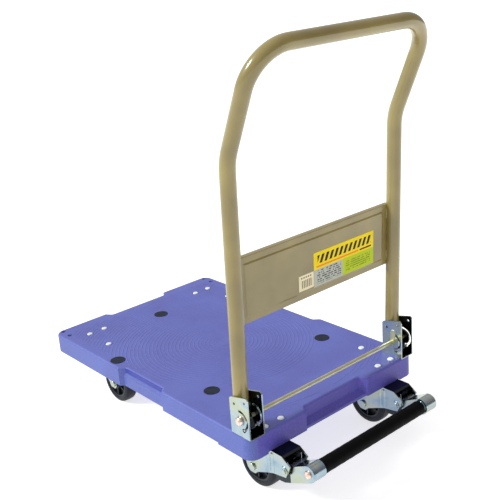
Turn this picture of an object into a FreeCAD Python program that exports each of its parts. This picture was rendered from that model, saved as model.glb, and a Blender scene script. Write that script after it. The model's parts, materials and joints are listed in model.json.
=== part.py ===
import FreeCAD, Part
import math
import os

# Folding platform cart: moulded deck, folding tube handle, two swivel casters under the
# free end, two fixed casters with a foot brake bar under the handle end.
# Millimetres. The design is drawn with x = 0 at the deck's middle and z = 0 on the floor,
# +X towards the handle, +Y across. write_node shifts it so that x = 0 is the middle of
# the whole cart's length.

# --- deck ---
DECK_L = 720.0
DECK_W = 475.0
DECK_TOP = 155.0
SKIRT_BOTTOM = 107.0
DECK_CORNER = 22.0
DECK_EDGE = 5.0
WALL = 3.5
TOP_SKIN = 4.0
MOUNT_Z = 127.0            # underside of the caster bosses
RIB_T = 3.0
RIB_BOTTOM = 142.0         # the ribs are shallow between the bosses
RIB_PITCH = 60.0
# Hand recesses in the deck's edges: half width inside, half width at the mouth, and the
# back wall from the top down as (depth in from the edge, height below the deck's top).
END_NOTCH = (80.0, 91.0, ((16.0, 0.0), (16.0, 28.0), (4.0, 38.0)))
SIDE_NOTCH = (68.0, 82.0, ((13.0, 0.0), (13.0, 12.0), (8.0, 20.0)))
CORNER_BLOCK = 262.0       # the skirt hangs lower at the two corners beyond this
SKIRT_STEP = 4.0
PADS = [(-113.0, -216.0), (-113.0, 216.0), (-245.0, 0.0), (157.0, -163.0), (157.0, 163.0)]
PAD_R = 17.0
PAD_PROUD = 1.0
PAD_DEEP = 2.0
ROPE_HOLE_R = 5.5
ROPE_HOLES = [(sx, sy * 220.0) for sx in (-348.0, -317.0) for sy in (-1, 1)]

# --- casters ---
CASTER_Y = 162.5
FRONT_X = -243.5           # swivel axis
REAR_X = 301.0             # fixed wheel axle
TRAIL = 39.0
HOLE_DX = 83.0
HOLE_DY = 41.0
PLATE = (105.0, 62.0, 4.0)
BOLT_R = 4.0
BOLT_HEAD_R = 7.0
BOLT_HEAD_H = 2.6
BOLT_RECESS = (9.0, 0.8)   # radius and depth of the seat round each head
WHEEL_R = 50.0
WHEEL_W = 30.0
CORE_R = 37.0
AXLE_R = 5.0
BUSH_R = 8.5
FIT = 0.05                 # running clearance on a radius
FRONT_GAP = 36.0           # between the swivel fork's legs
REAR_GAP = 44.0            # between the fixed fork's cheeks
SHEET = 3.0
CROWN_Z = 107.0
CROWN_R = 33.0
RACE_R = 28.0
BALL_R = 3.2
BALLS = 18
KINGPIN_R = 6.0

# --- handle ---
TUBE_R = 15.0
TUBE_WALL = 1.6
TUBE_X = 317.0             # tube axis where it meets the deck's top
TUBE_Y = 217.5
LEAN = 1.9                 # degrees towards +X
ELBOW_S = 524.0            # from the deck's top along the tube to the elbow
ELBOW_TURN = 22.4
ELBOW_R = 110.0
UPPER_S = 210.0            # elbow to the top bar's axis
CORNER_R = 75.0
PIVOT = (335.5, 188.0)     # hinge axis, x and z
ROD_R = 4.5
FOOT_CLEAR = 32.3          # the tube's end is rounded about the hinge axis
WELD_GAP = 0.05            # between the tube and what is welded to it
LUG_T = 9.0                # hinge lug's thickness
PANEL_Z = (208.0, 340.0)   # above the deck's top, along the tube
PANEL_T = 1.5
PANEL_X = -7.0             # back of the face from the tubes' axis
FIELD_RISE = 1.2
FIELD_INSET = 16.0
LABEL = (-13.0, 160.0, 224.0, 295.0)      # y low, y high, z low, z high
SMALL_LABEL = (-54.0, -14.0, 227.0, 259.0)
LABEL_T = 0.3

# --- hinge brackets ---
BRACKET_X = (308.0, 360.0)
BRACKET_TOP = (229.5, 243.0)     # at the two ends of the plate
BRACKET_GAP = 32.0
BRACKET_BASE_T = 2.0
SLOT_R = 20.0
SLOT_W = 5.0
SLOT_ANGLES = (-62.0, 95.0)
STOP_PIN_R = 2.2

# --- foot brake ---
BRAKE_PIVOT = (393.0, 80.0)
BAR = (450.0, 94.5)
BAR_R = 12.5
SLEEVE_R = 15.0
SLEEVE_HALF = 146.0
ARM_R = 17.0
ARM_Y = (148.0, 179.0)
SHOE_R = 56.5              # radius of the shoe's face about the wheel's axle
BEADS_X = (351.0, 361.5)   # stiffening beads pressed into the housings' cheeks
BEAD_R = 4.5
SPRING_R = 7.0
SPRING_WIRE = 0.75
SPRING_RINGS = 4

LENGTH_MIN = -DECK_L / 2
LENGTH_MAX = BAR[0] + ARM_R
SHIFT = -(LENGTH_MIN + LENGTH_MAX) / 2

V = FreeCAD.Vector
X, Y, Z = V(1, 0, 0), V(0, 1, 0), V(0, 0, 1)


def cyl(radius, start, length, axis):
    """Cylinder from start along axis."""
    return Part.makeCylinder(radius, length, start, axis)


def ring(outer, inner, start, length, axis):
    """Tube from start along axis."""
    return cyl(outer, start, length, axis).cut(cyl(inner, start, length, axis))


def block(x0, x1, y0, y1, z0, z1):
    """Box between two corners."""
    return Part.makeBox(x1 - x0, y1 - y0, z1 - z0, V(x0, y0, z0))


def plate_xz(points, y0, y1):
    """Flat plate with an outline in the XZ plane, from y0 to y1."""
    corners = [V(x, y0, z) for x, z in points]
    face = Part.Face(Part.makePolygon(corners + corners[:1]))
    return face.extrude(V(0, y1 - y0, 0))


def fuse(shapes):
    """One clean solid from several that touch."""
    body = shapes[0].multiFuse(shapes[1:]) if len(shapes) > 1 else shapes[0]
    return body.removeSplitter()


def group(shapes):
    """Several separate solids in one node."""
    return Part.makeCompound(shapes)


def revolve_y(profile, x, y, z):
    """Turned part: profile points are (radius, along y) about the axis y through x, z."""
    corners = [V(x + r, y + a, z) for r, a in profile]
    face = Part.Face(Part.makePolygon(corners + corners[:1]))
    return face.revolve(V(x, y, z), Y, 360)


def write_node(name, shape):
    """Shift to the cart's frame and write one STEP file."""
    shape = shape.copy()
    shape.translate(V(SHIFT, 0, 0))
    for solid in shape.Solids:
        if not solid.isValid():
            print("not valid:", name)
    shape.exportStep("parts/" + name + ".step")


# ---------------------------------------------------------------- deck

def notch(inner, mouth, wall, inset, edge, turn):
    """Tapered hand recess in a deck edge; its back wall follows the given depths."""
    depth = max(d for d, drop in wall) + inset
    inner = inner + inset
    mouth = mouth + inset
    points = [(edge - depth, -inner), (edge + 1, -mouth), (edge + 1, mouth), (edge - depth, inner)]
    corners = [V(a, b, SKIRT_BOTTOM - 1) for a, b in points]
    cutter = Part.Face(Part.makePolygon(corners + corners[:1])).extrude(V(0, 0, 60))
    upright = [e for e in cutter.Edges if e.Vertexes[0].X < edge and e.Vertexes[1].X < edge
               and abs(e.Vertexes[0].Z - e.Vertexes[1].Z) > 1]
    cutter = cutter.makeFillet(7.0, upright)
    back = [(edge - wall[0][0] - inset, SKIRT_BOTTOM + 60)]
    back += [(edge - d - inset, DECK_TOP - drop) for d, drop in wall]
    back += [(edge - wall[-1][0] - inset, SKIRT_BOTTOM - 2)]
    back += [(edge + 2, SKIRT_BOTTOM - 2), (edge + 2, SKIRT_BOTTOM + 60)]
    corners = [V(a, -mouth - 5, z) for a, z in back]
    outside = Part.Face(Part.makePolygon(corners + corners[:1])).extrude(V(0, 2 * mouth + 10, 0))
    cutter = cutter.common(outside)
    cutter.rotate(V(0, 0, 0), Z, turn)
    return cutter


def deck_outline(inset, z0, z1):
    """Deck plan, pulled in by inset, as a solid between two heights."""
    half_l = DECK_L / 2 - inset
    half_w = DECK_W / 2 - inset
    body = block(-half_l, half_l, -half_w, half_w, z0, z1)
    upright = [e for e in body.Edges if abs(e.Vertexes[0].Z - e.Vertexes[1].Z) > 1]
    body = body.makeFillet(DECK_CORNER - inset, upright)
    for half, size, turns in ((DECK_L / 2, END_NOTCH, (0, 180)), (DECK_W / 2, SIDE_NOTCH, (90, 270))):
        inner, mouth, wall = size
        for turn in turns:
            body = body.cut(notch(inner, mouth, wall, inset, half, turn))
    return body


def caster_hole_places():
    """Bolt centres of the four caster plates."""
    places = []
    for cx in (FRONT_X, REAR_X):
        for side in (-1, 1):
            for dx in (-HOLE_DX / 2, HOLE_DX / 2):
                for dy in (-HOLE_DY / 2, HOLE_DY / 2):
                    places.append((cx + dx, side * CASTER_Y + dy))
    return places


def caster_bolt_places():
    """Bolted corners of the plates: all but the one nearest the deck's middle."""
    places = []
    for x, y in caster_hole_places():
        cx = FRONT_X if x < 0 else REAR_X
        if abs(x) > abs(cx) or abs(y) > CASTER_Y:
            places.append((x, y))
    return places


def bracket_screw_places(side):
    """Two screws in the floor of one hinge bracket."""
    return [(BRACKET_X[0] + 7.0, side * TUBE_Y), (BRACKET_X[1] - 7.0, side * TUBE_Y)]


def make_deck():
    """Moulded shell: skinned top, skirt all round, ribs and bolt bosses underneath."""
    shell = deck_outline(0, SKIRT_BOTTOM, DECK_TOP)
    top_edges = [e for e in shell.Edges
                 if all(abs(v.Z - DECK_TOP) < 0.01 for v in e.Vertexes)]
    shell = shell.makeFillet(DECK_EDGE, top_edges)
    hollow = deck_outline(WALL, SKIRT_BOTTOM - 1, DECK_TOP - TOP_SKIN)
    shell = shell.cut(hollow)
    for x0, x1, y0, y1 in ((-DECK_L, CORNER_BLOCK, -DECK_W, DECK_W),
                           (-DECK_L, DECK_L, -DECK_W / 2 + 44, DECK_W / 2 - 44)):
        shell = shell.cut(block(x0, x1, y0, y1, SKIRT_BOTTOM - 1, SKIRT_BOTTOM + SKIRT_STEP))
    ribs = []
    count_x = int(DECK_L / 2 / RIB_PITCH)
    for i in range(-count_x, count_x + 1):
        x = (i + 0.5) * RIB_PITCH
        ribs.append(block(x - RIB_T / 2, x + RIB_T / 2, -DECK_W / 2, DECK_W / 2, RIB_BOTTOM, DECK_TOP - 1))
    count_y = int(DECK_W / 2 / RIB_PITCH)
    for i in range(-count_y, count_y + 1):
        y = i * RIB_PITCH
        ribs.append(block(-DECK_L / 2, DECK_L / 2, y - RIB_T / 2, y + RIB_T / 2, RIB_BOTTOM, DECK_TOP - 1))
    for x, y in caster_bolt_places():
        ribs.append(cyl(10.0, V(x, y, MOUNT_Z), DECK_TOP - 1 - MOUNT_Z, Z))
    for side in (-1, 1):
        ribs.append(block(BRACKET_X[0] - 3, BRACKET_X[1] - 2, side * TUBE_Y - 22, side * TUBE_Y + 22,
                          DECK_TOP - 16, DECK_TOP - 1))
    inside = deck_outline(1.5, MOUNT_Z - 1, DECK_TOP - 1)
    ribs = ribs[0].multiFuse(ribs[1:]).common(inside)
    deck = fuse([shell, ribs])
    cuts = []
    for x, y in caster_bolt_places():
        cuts.append(cyl(BOLT_R, V(x, y, MOUNT_Z - 5), 40, Z))
        cuts.append(cyl(BOLT_RECESS[0], V(x, y, DECK_TOP - BOLT_RECESS[1]), 5, Z))
    for x, y in ROPE_HOLES:
        cuts.append(cyl(ROPE_HOLE_R, V(x, y, MOUNT_Z - 5), 40, Z))
    for x, y in PADS:
        cuts.append(cyl(PAD_R, V(x, y, DECK_TOP - PAD_DEEP), 5, Z))
    for side in (-1, 1):
        half = BRACKET_GAP / 2 + SHEET
        cuts.append(block(BRACKET_X[0], BRACKET_X[1], side * TUBE_Y - half, side * TUBE_Y + half,
                          DECK_TOP - BRACKET_BASE_T, DECK_TOP + 5))
        for x, y in bracket_screw_places(side):
            cuts.append(cyl(3.0, V(x, y, DECK_TOP - 14), 20, Z))
    return deck.cut(cuts[0].multiFuse(cuts[1:]))


def make_pads():
    """Five rubber anti-slip discs let into the deck's top."""
    pads = []
    for x, y in PADS:
        disc = cyl(PAD_R, V(x, y, DECK_TOP - PAD_DEEP), PAD_DEEP + PAD_PROUD, Z)
        rim = [e for e in disc.Edges if e.BoundBox.ZMin > DECK_TOP + PAD_PROUD - 0.1]
        pads.append(disc.makeFillet(0.7, rim))
    return group(pads)


def make_caster_bolts():
    """Domed bolts through the deck and the caster plates."""
    bolts = []
    seat = DECK_TOP - BOLT_RECESS[1]
    for x, y in caster_bolt_places():
        head = cyl(BOLT_HEAD_R, V(x, y, seat), BOLT_HEAD_H, Z)
        rim = [e for e in head.Edges if e.BoundBox.ZMin > seat + BOLT_HEAD_H - 0.1]
        head = head.makeFillet(BOLT_HEAD_H - 0.3, rim)
        low = MOUNT_Z - PLATE[2] - 9
        shank = cyl(BOLT_R, V(x, y, low), seat - low, Z)
        bolts.append(fuse([head, shank]))
    return group(bolts)


def hexagon(across, start, length, axis, bore):
    """Hexagonal nut along axis with a round bore."""
    radius = across / math.sqrt(3)
    points = []
    for i in range(7):
        a = math.radians(60 * i + 30)
        if axis == Z:
            points.append(V(radius * math.cos(a), radius * math.sin(a), 0) + start)
        else:
            points.append(V(radius * math.cos(a), 0, radius * math.sin(a)) + start)
    nut = Part.Face(Part.makePolygon(points)).extrude(axis * length)
    nut = nut.common(cyl(radius - 0.25, start, length, axis))
    return nut.cut(cyl(bore, start - axis, length + 2, axis)) if bore else nut


def make_caster_nuts():
    """Nuts under the caster plates."""
    top = MOUNT_Z - PLATE[2]
    return group([hexagon(13.0, V(x, y, top - 6.5), 6.5, Z, BOLT_R) for x, y in caster_bolt_places()])


# ---------------------------------------------------------------- handle

def lean(shape):
    """Tip a shape drawn upright to the handle's lean."""
    shape = shape.copy()
    shape.rotate(V(TUBE_X, 0, DECK_TOP), Y, LEAN)
    return shape


def rounded_path(points, radii):
    """Wire of straight runs joined by tangent arcs of the given radii."""
    edges = []
    start = points[0]
    for i in range(1, len(points) - 1):
        before = (points[i] - points[i - 1]).normalize()
        after = (points[i + 1] - points[i]).normalize()
        turn = before.getAngle(after)
        back = radii[i - 1] * math.tan(turn / 2)
        enter = points[i] - before * back
        leave = points[i] + after * back
        inward = (after - before).normalize()
        centre = points[i] + inward * (radii[i - 1] / math.cos(turn / 2))
        middle = centre - inward * radii[i - 1]
        edges.append(Part.LineSegment(start, enter).toShape())
        edges.append(Part.Arc(enter, middle, leave).toShape())
        start = leave
    edges.append(Part.LineSegment(start, points[-1]).toShape())
    return Part.Wire(edges)


def tube_along(path, radius):
    """Round bar swept along a path of lines and arcs that starts straight up."""
    start = path.Edges[0].Vertexes[0].Point
    profile = Part.Wire([Part.Circle(start, Z, radius).toShape()])
    return path.makePipeShell([profile], True, True)


def handle_path(low):
    """The U of the handle, upright, from low on one side to low on the other."""
    bend = math.radians(ELBOW_TURN)
    elbow_z = DECK_TOP + ELBOW_S
    top_x = TUBE_X + UPPER_S * math.sin(bend)
    top_z = elbow_z + UPPER_S * math.cos(bend)
    points = [V(TUBE_X, -TUBE_Y, low), V(TUBE_X, -TUBE_Y, elbow_z), V(top_x, -TUBE_Y, top_z),
              V(top_x, TUBE_Y, top_z), V(TUBE_X, TUBE_Y, elbow_z), V(TUBE_X, TUBE_Y, low)]
    return rounded_path(points, [ELBOW_R, CORNER_R, CORNER_R, ELBOW_R])


def make_handle_tube():
    """Bent steel tube; its two ends are rounded about the hinge axis to clear the deck."""
    low = DECK_TOP - 20
    path = handle_path(low)
    tube = tube_along(path, TUBE_R).cut(tube_along(path, TUBE_R - TUBE_WALL))
    tube = lean(tube)
    keep = [block(200, 600, -400, 400, PIVOT[1], 1100),
            cyl(FOOT_CLEAR, V(PIVOT[0], -400, PIVOT[1]), 800, Y)]
    tube = tube.common(fuse(keep))
    for side in (-1, 1):
        tube = tube.cut(cyl(ROD_R + 1.5, V(PIVOT[0], side * TUBE_Y - 20, PIVOT[1]), 40, Y))
    return tube


def tube_leg(side, radius, low, high):
    """Straight lower stretch of one handle leg, leaning."""
    return lean(cyl(radius, V(TUBE_X, side * TUBE_Y, low), high - low, Z))


def make_handle_panel():
    """Pressed cross panel with returned edges and a raised middle field."""
    z0 = DECK_TOP + PANEL_Z[0]
    z1 = DECK_TOP + PANEL_Z[1]
    half = TUBE_Y - 8
    x = TUBE_X + PANEL_X
    flange = 9.0
    face = block(x, x + PANEL_T, -half, half, z0, z1)
    low = block(x - flange, x + 0.01, -half, half, z0, z0 + PANEL_T)
    high = block(x - flange, x + 0.01, -half, half, z1 - PANEL_T, z1)
    panel = fuse([face, low, high])
    outer = [e for e in panel.Edges if abs(e.Vertexes[0].Y - e.Vertexes[1].Y) > 10
             and e.BoundBox.XMin > x + PANEL_T - 0.1]
    panel = panel.makeFillet(1.2, outer)
    inset = FIELD_INSET
    draft = 3.5
    side = TUBE_Y - TUBE_R - inset

    def field(grow, shift):
        """Truncated pyramid of the raised field."""
        levels = []
        for depth, spread in ((0.0, draft), (FIELD_RISE + 0.001, 0.0)):
            g = grow + spread
            corners = [V(x + shift + depth, -side - g, z0 + inset - g),
                       V(x + shift + depth, side + g, z0 + inset - g),
                       V(x + shift + depth, side + g, z1 - inset + g),
                       V(x + shift + depth, -side - g, z1 - inset + g)]
            levels.append(Part.makePolygon(corners + corners[:1]))
        return Part.makeLoft(levels, True, True)

    panel = fuse([panel, field(0.0, PANEL_T - 0.001)])
    panel = panel.cut(field(-PANEL_T * 0.6, -0.001))
    panel = lean(panel)
    for side_sign in (-1, 1):
        panel = panel.cut(tube_leg(side_sign, TUBE_R + WELD_GAP, z0 - 40, z1 + 40))
    return panel


def label_plate(size):
    """Thin label stuck on the raised field."""
    y0, y1, z0, z1 = size
    x = TUBE_X + PANEL_X + PANEL_T + FIELD_RISE
    return lean(block(x, x + LABEL_T, y0, y1, DECK_TOP + z0, DECK_TOP + z1))


def make_handle_foot(side):
    """Hinge lug welded to the tube's foot: boss on the rod and an ear for the stop pin."""
    y0 = side * TUBE_Y - LUG_T / 2
    y1 = side * TUBE_Y + LUG_T / 2
    px, pz = PIVOT
    angle = math.radians(SLOT_ANGLES[0])
    ear = (px + SLOT_R * math.cos(angle), pz + SLOT_R * math.sin(angle))
    boss = cyl(9.0, V(px, y0, pz), y1 - y0, Y)
    tip = cyl(5.5, V(ear[0], y0, ear[1]), y1 - y0, Y)
    web = plate_xz([(px - 8, pz + 3), (px + 4, pz + 8), (px + 8.8, pz), (ear[0] + 5.2, ear[1] + 1.5),
                    (ear[0] - 2, ear[1] - 5.1), (px - 7, pz - 6)], y0, y1)
    saddle = block(px - 14, px - 1, side * TUBE_Y - 9.5, side * TUBE_Y + 9.5, pz - 14, pz + 30)
    leg = tube_leg(side, TUBE_R + WELD_GAP, DECK_TOP - 30, DECK_TOP + 90)
    foot = fuse([piece.cut(leg) for piece in (boss, tip, web, saddle)])
    trim = cyl(FOOT_CLEAR, V(px, side * TUBE_Y - 20, pz), 40, Y)
    high = block(px - 30, px + 40, side * TUBE_Y - 20, side * TUBE_Y + 20, pz, pz + 60)
    foot = foot.common(fuse([trim, high]))
    foot = foot.cut(block(px + 0.5, px + 30, y0 - 9, y1 + 9, pz + 8.5, pz + 60))
    foot = foot.cut(cyl(ROD_R + FIT, V(px, side * TUBE_Y - 20, pz), 40, Y))
    return foot.cut(cyl(STOP_PIN_R, V(ear[0], y0 - 1, ear[1]), y1 - y0 + 2, Y))


def make_stop_pins():
    """Pins fixed in the lugs' ears that run in the brackets' arc slots."""
    angle = math.radians(SLOT_ANGLES[0])
    x = PIVOT[0] + SLOT_R * math.cos(angle)
    z = PIVOT[1] + SLOT_R * math.sin(angle)
    half = BRACKET_GAP / 2 + SHEET - 0.5
    return group([cyl(STOP_PIN_R, V(x, s * TUBE_Y - half, z), 2 * half, Y) for s in (-1, 1)])


# ---------------------------------------------------------------- hinge brackets

def arc_slot(y0, y1):
    """Curved slot about the hinge axis with a round window at its lower end."""
    a0, a1 = SLOT_ANGLES
    px, pz = PIVOT
    band = ring(SLOT_R + SLOT_W / 2, SLOT_R - SLOT_W / 2, V(px, y0, pz), y1 - y0, Y)
    reach = 60.0
    steps = [a0 + (a1 - a0) * i / 4 for i in range(5)]
    rim = [(px + reach * math.cos(math.radians(a)), pz + reach * math.sin(math.radians(a))) for a in steps]
    band = band.common(plate_xz([(px, pz)] + rim, y0, y1))
    ends = []
    for a, r in ((a0, 4.5), (a1, SLOT_W / 2)):
        ends.append(cyl(r, V(px + SLOT_R * math.cos(math.radians(a)), y0,
                             pz + SLOT_R * math.sin(math.radians(a))), y1 - y0, Y))
    return fuse([band] + ends)


def make_bracket(side):
    """Zinc-plated channel: a floor let into the deck and two cheeks."""
    x0, x1 = BRACKET_X
    half = BRACKET_GAP / 2 + SHEET
    yc = side * TUBE_Y
    low = DECK_TOP - BRACKET_BASE_T
    outline = [(x0, low), (x1, low), (x1, BRACKET_TOP[1]), (x0, BRACKET_TOP[0])]
    body = plate_xz(outline, yc - half, yc + half)
    upper = [e for e in body.Edges if abs(e.Vertexes[0].Y - e.Vertexes[1].Y) > 10
             and e.BoundBox.ZMin > 200]
    body = body.makeFillet(6.0, upper)
    low_long = [e for e in body.Edges if abs(e.Vertexes[0].X - e.Vertexes[1].X) > 10
                and e.BoundBox.ZMax < low + 1]
    body = body.makeFillet(1.9, low_long)
    body = body.cut(block(x0 - 1, x1 + 1, yc - BRACKET_GAP / 2, yc + BRACKET_GAP / 2, DECK_TOP, 300))
    y0 = yc - half - 1
    y1 = yc + half + 1
    body = body.cut(arc_slot(y0, y1))
    body = body.cut(cyl(ROD_R, V(PIVOT[0], y0, PIVOT[1]), y1 - y0, Y))
    for hx, hz in ((x0 + 13, 219.0), (x1 - 9.5, 230.0)):
        body = body.cut(cyl(2.7, V(hx, y0, hz), y1 - y0, Y))
    for x, y in bracket_screw_places(side):
        body = body.cut(cyl(3.0, V(x, y, low - 1), 6, Z))
    return body


def make_bracket_screws():
    """Low-headed screws holding the bracket floors to the deck."""
    screws = []
    for side in (-1, 1):
        for x, y in bracket_screw_places(side):
            head = cyl(5.0, V(x, y, DECK_TOP), 0.4, Z)
            shank = cyl(3.0, V(x, y, DECK_TOP - 13), 13.0, Z)
            screws.append(fuse([head, shank]))
    return group(screws)


def make_hinge_rod():
    """Long rod through both brackets on which the handle folds."""
    half = TUBE_Y + BRACKET_GAP / 2 + SHEET + 6
    return cyl(ROD_R, V(PIVOT[0], -half, PIVOT[1]), 2 * half, Y)


def make_hinge_nuts():
    """Domed nuts on the rod's ends."""
    face = TUBE_Y + BRACKET_GAP / 2 + SHEET + 1.2
    nuts = []
    for side in (-1, 1):
        profile = [(ROD_R, 0), (9.0, 0), (9.0, 1.5), (8.3, 3.6), (6.6, 5.4), (4.4, 6.6), (0, 7.2),
                   (0, 4.8), (ROD_R, 4.8)]
        nuts.append(revolve_y([(r, side * a) for r, a in profile], PIVOT[0], side * face, PIVOT[1]))
    return group(nuts)


def make_hinge_washers():
    """Washers under the domed nuts."""
    face = TUBE_Y + BRACKET_GAP / 2 + SHEET
    washers = []
    for side in (-1, 1):
        start = face if side > 0 else -face - 1.2
        washers.append(ring(10.5, ROD_R, V(PIVOT[0], start, PIVOT[1]), 1.2, Y))
    return group(washers)


def make_rod_keepers():
    """Strips on the inner cheeks that key the rod so that it can't turn."""
    strips = []
    px, pz = PIVOT
    for side in (-1, 1):
        face = side * (TUBE_Y - BRACKET_GAP / 2 - SHEET)
        y0, y1 = sorted((face, face - side * 2.0))
        strip = plate_xz([(px - 5, pz - 7), (px + 5, pz - 7), (px + 9, pz + 24), (px + 5, pz + 28),
                          (px - 1, pz + 28), (px - 4, pz + 22)], y0, y1)
        strips.append(strip.cut(cyl(ROD_R, V(px, y0 - 1, pz), 4, Y)))
    return group(strips)


# ---------------------------------------------------------------- casters

def rect_plate(cx, cy):
    """Caster mounting plate with rounded corners and four bolt holes."""
    lx, ly, t = PLATE
    body = block(cx - lx / 2, cx + lx / 2, cy - ly / 2, cy + ly / 2, MOUNT_Z - t, MOUNT_Z)
    upright = [e for e in body.Edges if abs(e.Vertexes[0].Z - e.Vertexes[1].Z) > 1]
    body = body.makeFillet(8.0, upright)
    for dx in (-HOLE_DX / 2, HOLE_DX / 2):
        for dy in (-HOLE_DY / 2, HOLE_DY / 2):
            body = body.cut(cyl(BOLT_R, V(cx + dx, cy + dy, MOUNT_Z - t - 1), t + 2, Z))
    return body


def make_swivel_plate(side):
    """Top plate of a swivel caster with its upper ball race and dust skirt."""
    cy = side * CASTER_Y
    under = MOUNT_Z - PLATE[2]
    plate = rect_plate(FRONT_X, cy)
    ball_top = CROWN_Z + SHEET + 3.3 + 2 * BALL_R
    race = ring(RACE_R + 3, RACE_R - 3, V(FRONT_X, cy, ball_top + 0.3), under - ball_top - 0.3, Z)
    skirt = ring(CROWN_R + 1.5, CROWN_R - 0.5, V(FRONT_X, cy, CROWN_Z + SHEET + 2.5),
                 under - CROWN_Z - SHEET - 2.5, Z)
    body = fuse([plate, race, skirt])
    return body.cut(cyl(KINGPIN_R, V(FRONT_X, cy, 100), 60, Z))


def make_swivel_balls(side):
    """Ring of bearing balls."""
    z = CROWN_Z + SHEET + 3.3 + BALL_R
    balls = []
    for i in range(BALLS):
        a = 2 * math.pi * i / BALLS
        balls.append(Part.makeSphere(BALL_R, V(FRONT_X + RACE_R * math.cos(a),
                                               side * CASTER_Y + RACE_R * math.sin(a), z)))
    return group(balls)


def make_kingpin(side):
    """Rivet that holds the swivel fork to its plate."""
    cy = side * CASTER_Y
    low = CROWN_Z - 0.3
    head = cyl(11.0, V(FRONT_X, cy, low - 4), 4, Z)
    shank = cyl(KINGPIN_R, V(FRONT_X, cy, low - 0.5), MOUNT_Z - low + 0.5, Z)
    return fuse([head, shank])


def make_swivel_fork(side):
    """Pressed fork: round crown with a lower race and two raked legs."""
    cy = side * CASTER_Y
    ax = FRONT_X + TRAIL
    top = CROWN_Z + SHEET
    half = FRONT_GAP / 2 + SHEET
    legs = plate_xz([(FRONT_X - 27, top), (FRONT_X + 29, top), (ax + 13, 58), (ax + 13, 46),
                     (ax + 7, 38), (ax - 7, 38), (ax - 13, 46), (FRONT_X - 12, 84)],
                    cy - half, cy + half)
    upright = [e for e in legs.Edges if abs(e.Vertexes[0].Y - e.Vertexes[1].Y) > 10
               and e.BoundBox.ZMax < 90]
    legs = legs.makeFillet(5.0, upright)
    shoulder = [e for e in legs.Edges if e.BoundBox.ZMin > top - 0.1
                and abs(e.Vertexes[0].X - e.Vertexes[1].X) > 20]
    legs = legs.makeFillet(2.5, shoulder)
    legs = legs.cut(block(FRONT_X - 90, FRONT_X + 120, cy - FRONT_GAP / 2, cy + FRONT_GAP / 2, 0, CROWN_Z))
    crown = cyl(CROWN_R, V(FRONT_X, cy, CROWN_Z), SHEET, Z)
    race = ring(RACE_R + 3, RACE_R - 3, V(FRONT_X, cy, top), 3.0, Z)
    fork = fuse([legs, crown, race])
    fork = fork.cut(cyl(KINGPIN_R + 0.1, V(FRONT_X, cy, 90), 40, Z))
    return fork.cut(cyl(AXLE_R, V(ax, cy - half - 1, WHEEL_R), 2 * half + 2, Y))


def make_fixed_fork(side):
    """Fixed caster and brake housing in one pressing, open towards +X."""
    cy = side * CASTER_Y
    half = REAR_GAP / 2 + SHEET
    plate_z = MOUNT_Z - PLATE[2]
    px, pz = BRAKE_PIVOT
    outline = [(270, plate_z), (331, plate_z), (333, 110.5), (388, 110.5), (410, 96), (398, 68),
               (362, 62), (345, 56), (316, 44), (308, 36.5), (294, 36.5), (286, 44), (270, 90)]
    body = plate_xz(outline, cy - half, cy + half)
    round_low = [e for e in body.Edges if abs(e.Vertexes[0].Y - e.Vertexes[1].Y) > 10
                 and e.BoundBox.ZMax < 100]
    body = body.makeFillet(3.0, round_low)
    room = [(200, plate_z - SHEET), (328, plate_z - SHEET), (330, 107.5), (440, 107.5), (440, 0), (200, 0)]
    body = body.cut(plate_xz(room, cy - REAR_GAP / 2, cy + REAR_GAP / 2))
    beads = []
    inner = block(340, 380, cy - half + 0.5, cy + half - 0.5, 50, 120)
    for face in (-1, 1):
        for bead_x in BEADS_X:
            centre = V(bead_x, cy + face * (half - 2.0), 64)
            bead = fuse([cyl(BEAD_R, centre, 40, Z), Part.makeSphere(BEAD_R, centre + V(0, 0, 40))])
            beads.append(bead.cut(inner))
    body = fuse([body] + beads)
    for face in (-1, 1):
        start = cy + face * half if face > 0 else cy - half - 1.5
        body = fuse([body, cyl(10.0, V(px, start, pz), 1.5, Y)])
    body = body.cut(cyl(4.0, V(px, cy - half - 3, pz), 2 * half + 6, Y))
    return body.cut(cyl(AXLE_R, V(REAR_X, cy - half - 3, WHEEL_R), 2 * half + 6, Y))


def make_tyre(x, y):
    """Solid rubber tread ring with rounded shoulders."""
    w = WHEEL_W / 2
    r = WHEEL_R
    tyre = ring(r, CORE_R, V(x, y - w, WHEEL_R), WHEEL_W, Y)
    shoulders = [e for e in tyre.Edges if abs(e.BoundBox.XLength - 2 * r) < 0.1]
    return tyre.makeFillet(6.0, shoulders)


def make_core(x, y):
    """Moulded wheel centre: rim, web with ribs and a hub."""
    w = WHEEL_W / 2 - 1.5
    rim = ring(CORE_R, CORE_R - 4, V(x, y - w, WHEEL_R), 2 * w, Y)
    web = ring(CORE_R - 3, BUSH_R, V(x, y - 3, WHEEL_R), 6, Y)
    hub = ring(15.0, BUSH_R, V(x, y - WHEEL_W / 2, WHEEL_R), WHEEL_W, Y)
    ribs = []
    for i in range(6):
        rib = block(x + 13, x + CORE_R - 3, y - w + 2, y + w - 2, WHEEL_R - 1.5, WHEEL_R + 1.5)
        rib.rotate(V(x, y, WHEEL_R), Y, 60 * i + 30)
        ribs.append(rib)
    return fuse([rim, web, hub] + ribs)


def make_bush(x, y):
    """Steel bearing sleeve pressed into the hub."""
    half = WHEEL_W / 2 + 2.5
    return ring(BUSH_R, AXLE_R + FIT, V(x, y - half, WHEEL_R), 2 * half, Y)


def make_axle(x, y, gap):
    """Axle bolt: round head outside one leg, shank to the nut on the other."""
    half = gap / 2 + SHEET
    shank = cyl(AXLE_R, V(x, y - half, WHEEL_R), 2 * half + 9, Y)
    head = cyl(8.5, V(x, y - half - 4, WHEEL_R), 4, Y)
    rim = [e for e in head.Edges if e.BoundBox.YMax < y - half - 3.9]
    return fuse([head.makeFillet(1.5, rim), shank])


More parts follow.
